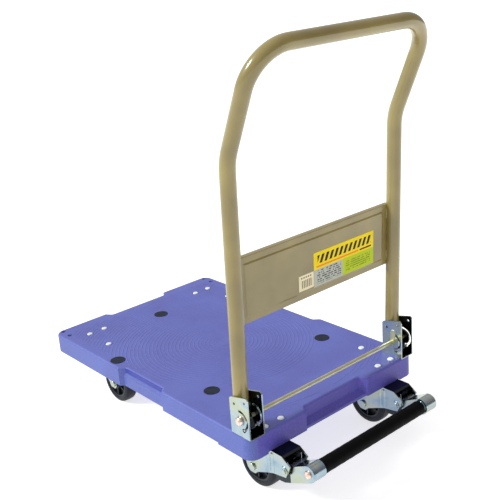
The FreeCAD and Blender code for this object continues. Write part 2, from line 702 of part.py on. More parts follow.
def make_axle_nut(x, y, gap):
    """Axle nut."""
    half = gap / 2 + SHEET
    return hexagon(16.0, V(x, y + half, WHEEL_R), 7.0, Y, AXLE_R)


# ---------------------------------------------------------------- foot brake

def make_pedal_arm(side):
    """Formed arm: two cheeks, and a web over the top that wraps the bar's end."""
    y0, y1 = sorted((side * ARM_Y[0], side * ARM_Y[1]))
    px, pz = BRAKE_PIVOT
    bx, bz = BAR
    outline = [(px - 10, pz + 8), (px + 2, 94), (412, 94.5), (bx - 7.8, bz + 15.1), (bx + 7.4, bz - 15.3), (404, 55),
               (384, 47), (361, 45), (360.5, 62), (374, 66)]
    solid = fuse([plate_xz(outline, y0, y1), cyl(ARM_R, V(bx, y0, bz), y1 - y0, Y)])
    room = [(300, 91), (413.4, 91.5), (bx - 9, bz + 10.5), (bx + 13, bz), (bx + 5, bz - 27), (404, 40), (300, 30)]
    core = plate_xz(room, y0 + SHEET, y1 - SHEET)
    pocket = cyl(ARM_R - SHEET, V(bx, y0 + SHEET, bz), y1 - y0 - 2 * SHEET, Y)
    wrap = ring(ARM_R, ARM_R - SHEET, V(bx, y0 + SHEET, bz), y1 - y0 - 2 * SHEET, Y)
    wrap = wrap.common(block(bx, bx + 40, y0, y1, bz - 12, bz + 40))
    arm = solid.cut(core).cut(pocket)
    arm = fuse([arm, wrap])
    inner = side * ARM_Y[0]
    hole_start = min(inner, inner + side * SHEET) - 0.5
    arm = arm.cut(cyl(BAR_R, V(bx, hole_start, bz), SHEET + 1, Y))
    outer = side * ARM_Y[1]
    arm = arm.cut(cyl(4.0, V(bx, outer - 5, bz), 10, Y))
    return arm.cut(cyl(4.0 + FIT, V(px, y0 - 1, pz), y1 - y0 + 2, Y))


def make_pedal_tube():
    """Cross tube with plugged, tapped ends."""
    half = ARM_Y[1] - SHEET
    tube = ring(BAR_R, BAR_R - 1.6, V(BAR[0], -half, BAR[1]), 2 * half, Y)
    plugs = [ring(BAR_R - 1.6, 4.0, V(BAR[0], s * (half - 8) - 8, BAR[1]), 16, Y) for s in (-1, 1)]
    return fuse([tube] + plugs)


def make_pedal_sleeve():
    """Rubber sleeve over the cross tube."""
    return ring(SLEEVE_R, BAR_R, V(BAR[0], -SLEEVE_HALF, BAR[1]), 2 * SLEEVE_HALF, Y)


def make_pedal_bolts():
    """Bolts that hold the cross tube between the arms."""
    bolts = []
    for side in (-1, 1):
        y = side * ARM_Y[1]
        profile = [(0, -14), (4.0, -14), (4.0, 0), (8.5, 0), (8.5, 1.0), (7.4, 3.0), (5.2, 4.4), (0, 5.2)]
        bolts.append(revolve_y([(r, side * a) for r, a in profile], BAR[0], y, BAR[1]))
    return group(bolts)


def make_brake_shoe(side):
    """Brake block between the arm's cheeks, hollowed to the tyre's curve."""
    mid = side * (ARM_Y[0] + ARM_Y[1]) / 2
    half = (ARM_Y[1] - ARM_Y[0]) / 2 - SHEET
    body = block(350, 371, mid - half, mid + half, 46, 61)
    return body.cut(cyl(SHOE_R, V(REAR_X, mid - 30, WHEEL_R), 60, Y))


def make_brake_springs():
    """Torsion springs round the brake pivots: close-wound turns and one leg up."""
    springs = []
    px, pz = BRAKE_PIVOT
    for side in (-1, 1):
        start = ARM_Y[0] - 0.4 - SPRING_WIRE
        turns = [Part.makeTorus(SPRING_R, SPRING_WIRE, V(px, side * (start - 1.3 * i), pz), Y)
                 for i in range(SPRING_RINGS)]
        leg = cyl(SPRING_WIRE, V(px + SPRING_R, side * start, pz), 25.5, Z)
        springs.append(fuse(turns + [leg]))
    return group(springs)


def make_brake_pins():
    """Pins through the housings on which the brake arms turn."""
    half = REAR_GAP / 2 + SHEET + 1.5
    pins = []
    for side in (-1, 1):
        cy = side * CASTER_Y
        x, z = BRAKE_PIVOT
        shank = cyl(4.0, V(x, cy - half - 1.5, z), 2 * half + 3, Y)
        heads = [cyl(6.0, V(x, cy - half - 1.5, z), 1.5, Y), cyl(6.0, V(x, cy + half, z), 1.5, Y)]
        pins.append(fuse([shank] + heads))
    return group(pins)


def make_axle_spacers():
    """Collars that centre the rear wheels between the wide cheeks."""
    length = REAR_GAP / 2 - WHEEL_W / 2 - 2.5 - 0.3
    spacers = []
    for side in (-1, 1):
        for face in (-1, 1):
            inner = side * CASTER_Y + face * REAR_GAP / 2
            start = inner if face < 0 else inner - length
            spacers.append(ring(8.0, AXLE_R, V(REAR_X, start, WHEEL_R), length, Y))
    return group(spacers)


# ---------------------------------------------------------------- write everything

def main():
    """Build each node and write its file."""
    os.makedirs("parts", exist_ok=True)
    nodes = {
        "deck": make_deck(),
        "anti_slip_pads": make_pads(),
        "caster_bolts": make_caster_bolts(),
        "caster_nuts": make_caster_nuts(),
        "handle_tube": make_handle_tube(),
        "handle_panel": make_handle_panel(),
        "main_label": label_plate(LABEL),
        "small_label": label_plate(SMALL_LABEL),
        "stop_pins": make_stop_pins(),
        "bracket_screws": make_bracket_screws(),
        "hinge_rod": make_hinge_rod(),
        "hinge_nuts": make_hinge_nuts(),
        "hinge_washers": make_hinge_washers(),
        "rod_keepers": make_rod_keepers(),
        "pedal_tube": make_pedal_tube(),
        "pedal_sleeve": make_pedal_sleeve(),
        "pedal_bolts": make_pedal_bolts(),
        "brake_springs": make_brake_springs(),
        "brake_pins": make_brake_pins(),
        "axle_spacers": make_axle_spacers(),
    }
    for word, side in (("left", -1), ("right", 1)):
        cy = side * CASTER_Y
        wheel_x = FRONT_X + TRAIL
        nodes["handle_foot_" + word] = make_handle_foot(side)
        nodes["hinge_bracket_" + word] = make_bracket(side)
        nodes["swivel_plate_" + word] = make_swivel_plate(side)
        nodes["swivel_balls_" + word] = make_swivel_balls(side)
        nodes["kingpin_" + word] = make_kingpin(side)
        nodes["swivel_fork_" + word] = make_swivel_fork(side)
        nodes["front_axle_" + word] = make_axle(wheel_x, cy, FRONT_GAP)
        nodes["front_axle_nut_" + word] = make_axle_nut(wheel_x, cy, FRONT_GAP)
        nodes["fixed_plate_" + word] = rect_plate(REAR_X, cy)
        nodes["fixed_fork_" + word] = make_fixed_fork(side)
        nodes["rear_axle_" + word] = make_axle(REAR_X, cy, REAR_GAP)
        nodes["rear_axle_nut_" + word] = make_axle_nut(REAR_X, cy, REAR_GAP)
        nodes["pedal_arm_" + word] = make_pedal_arm(side)
        nodes["brake_shoe_" + word] = make_brake_shoe(side)
        for end, x in (("front", wheel_x), ("rear", REAR_X)):
            nodes[end + "_tyre_" + word] = make_tyre(x, cy)
            nodes[end + "_wheel_core_" + word] = make_core(x, cy)
            nodes[end + "_wheel_bush_" + word] = make_bush(x, cy)
    for name, shape in nodes.items():
        write_node(name, shape)
    print(len(nodes), "nodes")


main()
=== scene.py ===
import json
import math

import bmesh
import bpy
import numpy as np
from mathutils import Matrix, Vector


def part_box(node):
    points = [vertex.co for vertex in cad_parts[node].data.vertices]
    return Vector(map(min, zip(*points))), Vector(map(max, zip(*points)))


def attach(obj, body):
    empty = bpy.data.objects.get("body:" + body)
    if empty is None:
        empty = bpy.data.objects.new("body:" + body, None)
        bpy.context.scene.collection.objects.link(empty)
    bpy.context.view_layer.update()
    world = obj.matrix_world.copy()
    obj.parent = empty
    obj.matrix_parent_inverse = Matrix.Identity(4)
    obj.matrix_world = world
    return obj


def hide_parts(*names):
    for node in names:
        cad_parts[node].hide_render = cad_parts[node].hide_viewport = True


# Looks of a folding platform cart: a moulded deck on four casters, a painted tube handle
# with a cross panel, zinc-plated hinges and a foot brake bar. Metres throughout.

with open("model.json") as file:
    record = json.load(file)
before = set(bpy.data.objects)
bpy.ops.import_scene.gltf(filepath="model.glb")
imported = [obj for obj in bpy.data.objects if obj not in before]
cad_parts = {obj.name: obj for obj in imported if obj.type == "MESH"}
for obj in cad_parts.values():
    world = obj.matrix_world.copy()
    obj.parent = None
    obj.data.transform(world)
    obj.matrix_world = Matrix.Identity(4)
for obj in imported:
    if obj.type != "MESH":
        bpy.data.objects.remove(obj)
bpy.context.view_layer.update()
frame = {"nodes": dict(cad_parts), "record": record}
nodes = frame["nodes"]

MM = 0.001
SIDES = ("left", "right")
HANDLE_LEAN = math.radians(1.9)


# ---------------------------------------------------------------- meshes

def piece_from_grids(name, grids, closed_u, capped):
    """One closed mesh from several grids of points [u, v, xyz].

    Each grid is a loop in v. In u it is a loop too (closed_u) or a run with a flat cap on
    both ends (capped). Quad (u, v) joins the points (u, v), (u, v+1), (u+1, v+1), (u+1, v).
    """
    points, faces, base = [], [], 0
    for grid in grids:
        rows, columns = grid.shape[:2]
        index = base + np.arange(rows * columns).reshape(rows, columns)
        after = np.roll(index, -1, axis=0) if closed_u else index[1:]
        here = index if closed_u else index[:-1]
        corners = [here, np.roll(here, -1, axis=1), np.roll(after, -1, axis=1), after]
        faces += np.stack(corners, axis=-1).reshape(-1, 4).tolist()
        if capped:
            faces += [index[0][::-1].tolist(), index[-1].tolist()]
        points.append(grid.reshape(-1, 3))
        base += rows * columns
    mesh = bpy.data.meshes.new(name)
    mesh.from_pydata(np.concatenate(points).tolist(), [], faces)
    work = bmesh.new()
    work.from_mesh(mesh)
    bmesh.ops.recalc_face_normals(work, faces=work.faces)
    work.to_mesh(mesh)
    work.free()
    mesh.update()
    piece = bpy.data.objects.new(name, mesh)
    bpy.context.scene.collection.objects.link(piece)
    return piece


def shade(piece, angle):
    """Smooth shading that keeps edges sharper than angle degrees."""
    mesh = piece.data
    mesh.polygons.foreach_set("use_smooth", np.ones(len(mesh.polygons), bool))
    mesh.set_sharp_from_angle(angle=math.radians(angle))


def place(piece, body, material, angle=35.0, stands_for=()):
    """Gives a finished piece its body, slot and material."""
    shade(piece, angle)
    piece.data.materials.append(material)
    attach(piece, body)
    if stands_for:
        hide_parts(*stands_for)


def turned(profile, centre, steps):
    """Turned grid: each profile point (radius, y) goes round the Y axis through centre."""
    angle = np.linspace(0, 2 * math.pi, steps, endpoint=False)[:, None]
    radius, along = profile[None, :, 0], profile[None, :, 1]
    return np.stack([centre.x + radius * np.cos(angle),
                     np.broadcast_to(centre.y + along, (steps, profile.shape[0])),
                     centre.z + radius * np.sin(angle)], axis=-1)


def swept(path, normal, radius, sides=12):
    """Round bar along path: at each point a circle, of that point's radius, lies across the path."""
    tangent = np.gradient(path, axis=0)
    tangent /= np.linalg.norm(tangent, axis=1, keepdims=True)
    across = np.cross(tangent, normal)
    across /= np.linalg.norm(across, axis=1, keepdims=True)
    upright = np.cross(across, tangent)
    angle = np.linspace(0, 2 * math.pi, sides, endpoint=False)[None, :, None]
    circle = np.cos(angle) * across[:, None] + np.sin(angle) * upright[:, None]
    return path[:, None] + radius[:, None, None] * circle


# ---------------------------------------------------------------- materials

def linear(colour):
    """sRGB hex to linear RGBA."""
    value = np.array([int(colour[i:i + 2], 16) / 255 for i in (1, 3, 5)])
    value = np.where(value <= 0.04045, value / 12.92, ((value + 0.055) / 1.055) ** 2.4)
    return (*value.tolist(), 1.0)


def per_metre(millimetres):
    """Texture scale whose features are this far apart."""
    return 1000.0 / millimetres


def add(tree, kind, inputs=None, output=0, stops=(), **settings):
    """Adds one node and returns an output socket; an input is a value or a socket to link.

    stops are the (position, hex colour) pairs of a colour ramp.
    """
    node = tree.nodes.new(kind)
    for key, value in settings.items():
        setattr(node, key, value)
    for key, value in (inputs or {}).items():
        if isinstance(value, bpy.types.NodeSocket):
            tree.links.new(value, node.inputs[key])
        else:
            node.inputs[key].default_value = value
    for index, (position, colour) in enumerate(stops):
        if index >= len(node.color_ramp.elements):
            node.color_ramp.elements.new(position)
        node.color_ramp.elements[index].position = position
        node.color_ramp.elements[index].color = linear(colour)
    return node.outputs[output]


def new_material(name, **sockets):
    """New material: returns it, its tree, its Principled shader's inputs and Object coordinates."""
    material = bpy.data.materials.new(name)
    material.use_nodes = True
    tree = material.node_tree
    shader = tree.nodes["Principled BSDF"]
    for key, value in sockets.items():
        shader.inputs[key.replace("_", " ")].default_value = value
    where = add(tree, "ShaderNodeTexCoord", output="Object")
    return material, tree, shader.inputs, where


def finish_material(tree, inputs, colour, roughness, normal):
    """Links the three textured channels into the shader."""
    tree.links.new(colour, inputs["Base Color"])
    tree.links.new(roughness, inputs["Roughness"])
    tree.links.new(normal, inputs["Normal"])


def moulded_polypropylene():
    """Injection-moulded polypropylene: satin violet blue with spark-eroded grain and faint flow marks.

    The top face is painted paler and greener than the skirt as painted light, fading over the rounded edge.
    The long sides are painted bluer than the ends as painted light, and painted shade darkens their hand
    recesses.
    """
    material, tree, inputs, where = new_material("moulded_polypropylene", IOR=1.49)
    low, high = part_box("deck")
    top, middle = high.z, (low.x + high.x) / 2
    corner, recess_half, recess_deep = 22 * MM, 76 * MM, 13 * MM
    height = add(tree, "ShaderNodeSeparateXYZ", {"Vector": where}, "Z")
    # painted light: 0 to 1 over the top 4 mm, where the top face takes its paler, greener tone
    painted_top_light = add(tree, "ShaderNodeMapRange", {"Value": height, "From Min": top - 4 * MM,
                                               "From Max": top - 0.6 * MM})
    across = add(tree, "ShaderNodeSeparateXYZ", {"Vector": where}, "Y")
    outward = add(tree, "ShaderNodeMath", {0: across}, operation="ABSOLUTE")
    # painted light: towards the long sides the colour turns bluer than the ends
    painted_side_light = add(tree, "ShaderNodeMapRange", {"Value": outward, "From Min": high.y - corner,
                                                "From Max": high.y - recess_deep})
    # painted shade: the upper walls of the long sides' hand recesses are painted dark
    painted_recess_shade = inside_pair(tree, where, (middle - recess_half, middle + recess_half),
                       (high.y - 15 * MM, high.y - 11.5 * MM), (top - 13 * MM, top - 2 * MM))
    flow = add(tree, "ShaderNodeTexNoise", {"Vector": where, "Scale": per_metre(140), "Detail": 3.0,
                                            "Distortion": 0.8})
    # the true grain and pits are about 0.3 mm; drawn at 2.4 mm and 3.2 mm so that they show
    grain = add(tree, "ShaderNodeTexNoise", {"Vector": where, "Scale": per_metre(2.4), "Detail": 4.0})
    pitted = add(tree, "ShaderNodeTexVoronoi", {"Vector": where, "Scale": per_metre(3.2)}, "Distance")
    # three tones of one plastic, as painted light and shade: darker for the ends, lighter for the lit long
    # sides and the top
    end, lit_long_side_tone, tread = [
        add(tree, "ShaderNodeValToRGB", {"Fac": flow}, stops=[(0.3, dark), (0.7, light)])
        for dark, light in (("#5347a8", "#584fb2"), ("#44509a", "#4a58a4"), ("#565aaa", "#5d66b6"))]
    speck = add(tree, "ShaderNodeMapRange", {"Value": grain, "To Min": -0.6, "To Max": 0.75})
    colour = layered(tree, end, [(painted_side_light, lit_long_side_tone), (painted_top_light, tread), (speck, "#747cc2"),
                                 (painted_recess_shade, "#2a3392")])
    rough = add(tree, "ShaderNodeMapRange", {"Value": grain, "To Min": 0.36, "To Max": 0.56})
    normal = add(tree, "ShaderNodeBump", {"Height": grain, "Distance": 0.25 * MM, "Strength": 0.35})
    normal = add(tree, "ShaderNodeBump", {"Height": pitted, "Distance": 0.2 * MM, "Strength": 0.2,
                                          "Normal": normal})
    finish_material(tree, inputs, colour, rough, normal)
    return material


def powder_coat(name, tones):
    """Glossy baked powder coat on steel: a clear gloss over an orange-peel skin of uneven tone."""
    material, tree, inputs, where = new_material(name, IOR=1.5, Coat_Weight=0.9, Coat_Roughness=0.07)
    cloud = add(tree, "ShaderNodeTexNoise", {"Vector": where, "Scale": per_metre(90), "Detail": 2.0})
    # real orange peel is about 2 mm across; drawn at 5 mm
    peel = add(tree, "ShaderNodeTexNoise", {"Vector": where, "Scale": per_metre(5), "Detail": 1.0})
    colour = add(tree, "ShaderNodeValToRGB", {"Fac": cloud}, stops=tones)
    rough = add(tree, "ShaderNodeMapRange", {"Value": peel, "To Min": 0.26, "To Max": 0.4})
    normal = add(tree, "ShaderNodeBump", {"Height": peel, "Distance": 0.35 * MM, "Strength": 0.25})
    finish_material(tree, inputs, colour, rough, normal)
    return material


def plated_steel(name, tints, roughness, film_mm, drawn=(1.0, 1.0, 4.0), painted_shade_boxes=()):
    """Plated steel: drawn or rolled grain under a passivate film whose tint drifts over the surface.

    The film is painted dull and dark inside the given boxes, as painted shade and painted dark reflection.
    """
    material, tree, inputs, where = new_material(name, Metallic=1.0)
    film = add(tree, "ShaderNodeTexNoise", {"Vector": where, "Scale": per_metre(film_mm), "Detail": 2.0,
                                            "Distortion": 1.5})
    rolled = add(tree, "ShaderNodeMapping", {"Vector": where, "Scale": drawn})
    # plating crystals are under 0.1 mm; drawn at 1.5 mm
    crystal = add(tree, "ShaderNodeTexNoise", {"Vector": rolled, "Scale": per_metre(1.5), "Detail": 3.0})
    colour = add(tree, "ShaderNodeValToRGB", {"Fac": film}, stops=tints)
    # painted shade and painted dark reflection: dark grey laid over the film inside the boxes
    colour = layered(tree, colour, [(inside_pair(tree, where, *box), "#34393f") for box in painted_shade_boxes])
    rough = add(tree, "ShaderNodeMapRange", {"Value": crystal, "To Min": roughness * 0.75,
                                             "To Max": roughness * 1.35})
    normal = add(tree, "ShaderNodeBump", {"Height": crystal, "Distance": 0.04 * MM, "Strength": 0.15})
    finish_material(tree, inputs, colour, rough, normal)
    return material


def black_rubber(name, tones, roughness, grain_mm, gloss):
    """Moulded or extruded rubber: near black, a weak gloss, grey bloom in its grain."""
    material, tree, inputs, where = new_material(name, IOR=1.52, Specular_IOR_Level=gloss)
    bloom = add(tree, "ShaderNodeTexNoise", {"Vector": where, "Scale": per_metre(18), "Detail": 4.0})
    # the true grain is about 0.2 mm; grain_mm draws it coarse enough to show
    grain = add(tree, "ShaderNodeTexNoise", {"Vector": where, "Scale": per_metre(grain_mm), "Detail": 3.0})
    colour = add(tree, "ShaderNodeValToRGB", {"Fac": bloom}, stops=tones)
    rough = add(tree, "ShaderNodeMapRange", {"Value": grain, "To Min": roughness - 0.08,
                                             "To Max": roughness + 0.1})
    normal = add(tree, "ShaderNodeBump", {"Height": grain, "Distance": 0.2 * MM, "Strength": 0.3})
    finish_material(tree, inputs, colour, rough, normal)
    return material


def moulded_nylon():
    """Glass-filled nylon of the wheel centres: dull blue-black with pale fibre streaks."""
    material, tree, inputs, where = new_material("moulded_glass_filled_nylon", IOR=1.53)
    stretched = add(tree, "ShaderNodeMapping", {"Vector": where, "Scale": (1.0, 5.0, 1.0)})
    # the glass fibres are about 0.3 mm long; their streaks are drawn at 2.5 mm
    fibre = add(tree, "ShaderNodeTexNoise", {"Vector": stretched, "Scale": per_metre(2.5), "Detail": 5.0})
    colour = add(tree, "ShaderNodeValToRGB", {"Fac": fibre}, stops=[(0.4, "#0e1017"), (0.75, "#232838")])
    rough = add(tree, "ShaderNodeMapRange", {"Value": fibre, "To Min": 0.42, "To Max": 0.6})
    normal = add(tree, "ShaderNodeBump", {"Height": fibre, "Distance": 0.15 * MM, "Strength": 0.3})
    finish_material(tree, inputs, colour, rough, normal)
    return material


def printed_film(name, paint):
    """Printed label of polyester film or coated paper: flat inks under a thin clear gloss.

    paint makes the print and returns its colour.
    """
    material, tree, inputs, where = new_material(name, IOR=1.57, Specular_IOR_Level=0.12, Coat_Weight=0.05,
                                                 Coat_Roughness=0.15)
    # the film's own texture is under 0.1 mm; drawn at 1.5 mm
    dimple = add(tree, "ShaderNodeTexNoise", {"Vector": where, "Scale": per_metre(1.5), "Detail": 2.0})
    rough = add(tree, "ShaderNodeMapRange", {"Value": dimple, "To Min": 0.3, "To Max": 0.42})
    normal = add(tree, "ShaderNodeBump", {"Height": dimple, "Distance": 0.05 * MM, "Strength": 0.2})
    finish_material(tree, inputs, paint(tree, where), rough, normal)
    return material


def layered(tree, base, layers):
    """Lays each (mask, ink) over base in turn; an ink is a hex colour or a colour socket."""
    for mask, ink in layers:
        ink = linear(ink) if isinstance(ink, str) else ink
        base = add(tree, "ShaderNodeMix", {0: mask, 6: base, 7: ink}, 2, data_type="RGBA")
    return base


def span(tree, value, low, high):
    """1 where value is between low and high, else 0."""
    middle = add(tree, "ShaderNodeMath", {0: value, 1: (low + high) / 2}, operation="SUBTRACT")
    size = add(tree, "ShaderNodeMath", {0: middle}, operation="ABSOLUTE")
    return add(tree, "ShaderNodeMath", {0: size, 1: (high - low) / 2}, operation="LESS_THAN")


def inside_pair(tree, where, x_range, y_range, z_range):
    """1 inside a box and its mirror image across the part's middle plane."""
    axes = [add(tree, "ShaderNodeSeparateXYZ", {"Vector": where}, axis) for axis in "XYZ"]
    axes[1] = add(tree, "ShaderNodeMath", {0: axes[1]}, operation="ABSOLUTE")
    masks = [span(tree, axis, *limits) for axis, limits in zip(axes, (x_range, y_range, z_range))]
    first = add(tree, "ShaderNodeMath", {0: masks[0], 1: masks[1]}, operation="MULTIPLY")
    return add(tree, "ShaderNodeMath", {0: first, 1: masks[2]}, operation="MULTIPLY")


def patch(tree, across, up, node, share):
    """1 inside a rectangle of a label, given in shares of its width and height."""
    low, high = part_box(node)
    wide, tall = high.y - low.y, high.z - low.z
    sides = span(tree, across, low.y + share[0] * wide, low.y + share[1] * wide)
    ends = span(tree, up, low.z + share[2] * tall, low.z + share[3] * tall)
    return add(tree, "ShaderNodeMath", {0: sides, 1: ends}, operation="MULTIPLY")


def bars(tree, value, pitch, duty, mask):
    """1 over a share duty of every pitch along value, inside mask."""
    turns = add(tree, "ShaderNodeMath", {0: value, 1: pitch}, operation="DIVIDE")
    part = add(tree, "ShaderNodeMath", {0: turns}, operation="FRACT")
    bar = add(tree, "ShaderNodeMath", {0: part, 1: duty}, operation="LESS_THAN")
    return add(tree, "ShaderNodeMath", {0: bar, 1: mask}, operation="MULTIPLY")


def dashes(tree, up, where, line, word, mask):
    """Rows of short dashes of uneven length, inside mask, that stand for small print."""
    stretched = add(tree, "ShaderNodeMapping", {"Vector": where, "Scale": (0.0, 1 / word, 0.7 / line)})
    cells = add(tree, "ShaderNodeTexVoronoi", {"Vector": stretched, "Scale": 1.0, "Randomness": 0.8},
                "Distance")
    solid = add(tree, "ShaderNodeMath", {0: cells, 1: 0.6}, operation="LESS_THAN")
    return bars(tree, up, line, 0.5, add(tree, "ShaderNodeMath", {0: solid, 1: mask}, operation="MULTIPLY"))


def main_label_paint(tree, where):
    """Yellow band with a hatch of slanted bars, an orange line, a grey block and a lime block."""
    across, up = [add(tree, "ShaderNodeSeparateXYZ", {"Vector": where}, axis) for axis in "YZ"]
    plain = add(tree, "ShaderNodeTexNoise", {"Vector": where, "Scale": per_metre(30)})
    colour = add(tree, "ShaderNodeValToRGB", {"Fac": plain}, stops=[(0.3, "#f2d400"), (0.7, "#f7dd08")])
    lean = add(tree, "ShaderNodeMath", {0: up, 1: 0.45}, operation="MULTIPLY")
    slanted = add(tree, "ShaderNodeMath", {0: across, 1: lean}, operation="SUBTRACT")
    band, lower, grey_block, orange, brown, grey_print, lime_print = [
        patch(tree, across, up, "main_label", share) for share in (
            (0.06, 0.96, 0.66, 0.9), (0.0, 1.0, 0.0, 0.5), (0.0, 0.47, 0.0, 0.5), (0.04, 0.74, 0.55, 0.6),
            (0.76, 0.96, 0.55, 0.6), (0.05, 0.44, 0.06, 0.46), (0.52, 0.94, 0.08, 0.42))]
    return layered(tree, colour, [
        (lower, "#b9cc12"), (grey_block, "#b9bcae"), (bars(tree, slanted, 13.5 * MM, 0.55, band), "#26210f"),
        (orange, "#f08a1d"), (brown, "#6b2c16"),
        (dashes(tree, up, where, 4.6 * MM, 5.0 * MM, grey_print), "#3c424c"),
        (dashes(tree, up, where, 4.6 * MM, 5.0 * MM, lime_print), "#7c8c14")])


def small_label_paint(tree, where):
    """Cream film with a block of upright bars under a dashed line."""
    across, up = [add(tree, "ShaderNodeSeparateXYZ", {"Vector": where}, axis) for axis in "YZ"]
    plain = add(tree, "ShaderNodeTexNoise", {"Vector": where, "Scale": per_metre(20)})
    colour = add(tree, "ShaderNodeValToRGB", {"Fac": plain}, stops=[(0.3, "#e9dcb4"), (0.7, "#f1e6c3")])
    block = patch(tree, across, up, "small_label", (0.14, 0.9, 0.16, 0.66))
    line = patch(tree, across, up, "small_label", (0.14, 0.84, 0.78, 0.88))
    return layered(tree, colour, [(bars(tree, across, 4.6 * MM, 0.55, block), "#7a725c"),
                                  (bars(tree, across, 6.0 * MM, 0.6, line), "#7a725c")])


def channel_insides():
    """Boxes (x, y, z ranges) inside the hinge brackets and the brake housings of the +Y side, where the zinc
    is painted dark as painted shade and painted dark reflection.
    """
    cheek = 2.7 * MM
    low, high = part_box("hinge_bracket_right")
    bracket = ((low.x - MM, high.x + MM), (low.y + cheek, high.y - cheek), (low.z + 1.5 * MM, high.z))
    low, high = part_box("fixed_fork_right")
    housing = ((low.x + 40 * MM, high.x - 8 * MM), (low.y + cheek, high.y - cheek), (low.z, high.z + MM))
    return [bracket, housing]


ZINC = [(0.28, "#8fa6b8"), (0.44, "#a6b7be"), (0.54, "#b5bdb1"), (0.64, "#b0baa6"), (0.76, "#b8b4bb")]
COPPER = [(0.3, "#d0a895"), (0.5, "#e4cbbc"), (0.7, "#f0e3d9")]
GOLD = [(0.3, "#c6c39d"), (0.5, "#d3d0b0"), (0.7, "#c4c8b4")]
BRIGHT = [(0.3, "#b9bcc0"), (0.7, "#d5d7da")]
KHAKI = [(0.3, "#7a6b35"), (0.5, "#86763c"), (0.72, "#948346")]
WHITE = [(0.3, "#d9dce8"), (0.5, "#e6e9f3"), (0.72, "#f2f3fa")]
PAD_BLACK = [(0.35, "#1a1f2b"), (0.75, "#2a3242")]
TYRE_BLACK = [(0.35, "#060911"), (0.75, "#111a2c")]
SLEEVE_BLACK = [(0.35, "#030303"), (0.75, "#070608")]

materials = {
    "deck_polypropylene": moulded_polypropylene(),
    "pad_rubber": black_rubber("moulded_rubber_pad", PAD_BLACK, 0.7, 1.5, 0.2),
    "tyre_rubber": black_rubber("moulded_rubber_tyre", TYRE_BLACK, 0.45, 1.2, 0.25),
    "sleeve_rubber": black_rubber("extruded_rubber_sleeve", SLEEVE_BLACK, 0.6, 1.0, 0.08),
    "zinc_steel": plated_steel("zinc_plated_steel", ZINC, 0.22, 75, painted_shade_boxes=channel_insides()),
    "plain_steel": plated_steel("ground_steel", BRIGHT, 0.3, 40),
    "khaki_paint": powder_coat("powder_coated_steel", KHAKI),
    "copper_zinc": plated_steel("pink_passivated_steel", COPPER, 0.22, 9),
    "gold_zinc": plated_steel("yellow_passivated_steel", GOLD, 0.42, 60, (1.0, 0.1, 1.0)),
    "white_coat": powder_coat("white_coated_steel", WHITE),
    "core_plastic": moulded_nylon(),
    "label_yellow": printed_film("printed_polyester_label", main_label_paint),
    "label_cream": printed_film("printed_paper_label", small_label_paint),
}

slot_of = {row["node"]: row["material_slot"] for row in frame["record"]["subparts"]}
for name, thing in nodes.items():
    thing.data.materials.clear()
    thing.data.materials.append(materials[slot_of[name]])


# ---------------------------------------------------------------- deck rings

def deck_rings():
    """Fine concentric ribs moulded on the deck's top.

    A rib is an arc of a circle about the deck's middle with a low rounded section. It
    stops short of the deck's edges and of the hinge brackets.
    """
    low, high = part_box("deck")
    middle = (low + high) / 2
    top = high.z
    pitch, half_width, height, sunk = 8.6 * MM, 1.6 * MM, 0.4 * MM, 0.3 * MM
    end_margin, side_margin, step = 34 * MM, 24 * MM, 4 * MM
    half = np.array([high.x - middle.x - end_margin, high.y - middle.y - side_margin])
    bracket_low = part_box("hinge_bracket_left")[0].x - middle.x - 4 * MM
    bracket_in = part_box("hinge_bracket_right")[0].y - 8 * MM
    shoulder = height * 0.75
    profile = np.array([[-1.0, -sunk], [-0.55, shoulder], [0.0, height], [0.55, shoulder], [1.0, -sunk]])
    profile[:, 0] *= half_width
    grids = []
    for ring in range(2, int(np.hypot(*half) / pitch)):
        radius = ring * pitch
        count = int(2 * math.pi * radius / step)
        angle = np.arange(count) * 2 * math.pi / count
        x, y = radius * np.cos(angle), radius * np.sin(angle)
        keep = (np.abs(x) < half[0]) & (np.abs(y) < half[1])
        keep &= ~((x > bracket_low) & (np.abs(y) > bracket_in))
        if keep.all():
            runs = [np.arange(count + 1)]
        else:
            start = int(np.argmin(keep))
            order = (np.arange(count) + start) % count
            change = np.flatnonzero(np.diff(keep[order].astype(int)))
            runs = [order[a + 1:b + 1] for a, b in zip(change[::2], change[1::2])]
        for run in runs:
            if len(run) > 4:
                turn = (run * 2 * math.pi / count)[:, None]
                across = radius + profile[None, :, 0]
                x, y = middle.x + across * np.cos(turn), middle.y + across * np.sin(turn)
                grids.append(np.stack([x, y, np.broadcast_to(top + profile[None, :, 1], x.shape)], -1))
    return piece_from_grids("deck_rings", grids, closed_u=False, capped=True)


place(deck_rings(), "deck", materials["deck_polypropylene"], 50.0)


# ---------------------------------------------------------------- wheels

def tyre_profile(radius, core, half):
    """Section of a tyre: crowned tread with a parting bead, round shoulders, ringed walls."""
    shoulder, wall = 6 * MM, half - 0.5 * MM
    y = np.array([-9, -6, -3, -1.2, -0.6, 0, 0.6, 1.2, 3, 6, 9]) * MM * (half / (15 * MM))
    tread = radius - 0.25 * MM - 0.5 * MM * (y / half) ** 2 + 0.25 * MM * np.exp(-(y / (0.5 * MM)) ** 2)
    bend = np.radians([12, 30, 48, 66, 84])
    outer_r = radius - 0.6 * MM - shoulder + shoulder * np.cos(bend)
    outer_y = wall - shoulder + shoulder * np.sin(bend)
    side_r = np.linspace(radius - shoulder - 1.5 * MM, core, 9)
    side_y = wall + 0.5 * MM * (np.abs(np.sin(np.linspace(0, 2 * math.pi, 9))) > 0.6)
    right = np.stack([np.concatenate([outer_r, side_r]), np.concatenate([outer_y, side_y])], -1)
    left = right[::-1] * np.array([1.0, -1.0])
    return np.concatenate([np.stack([tread, y], -1), right, left])


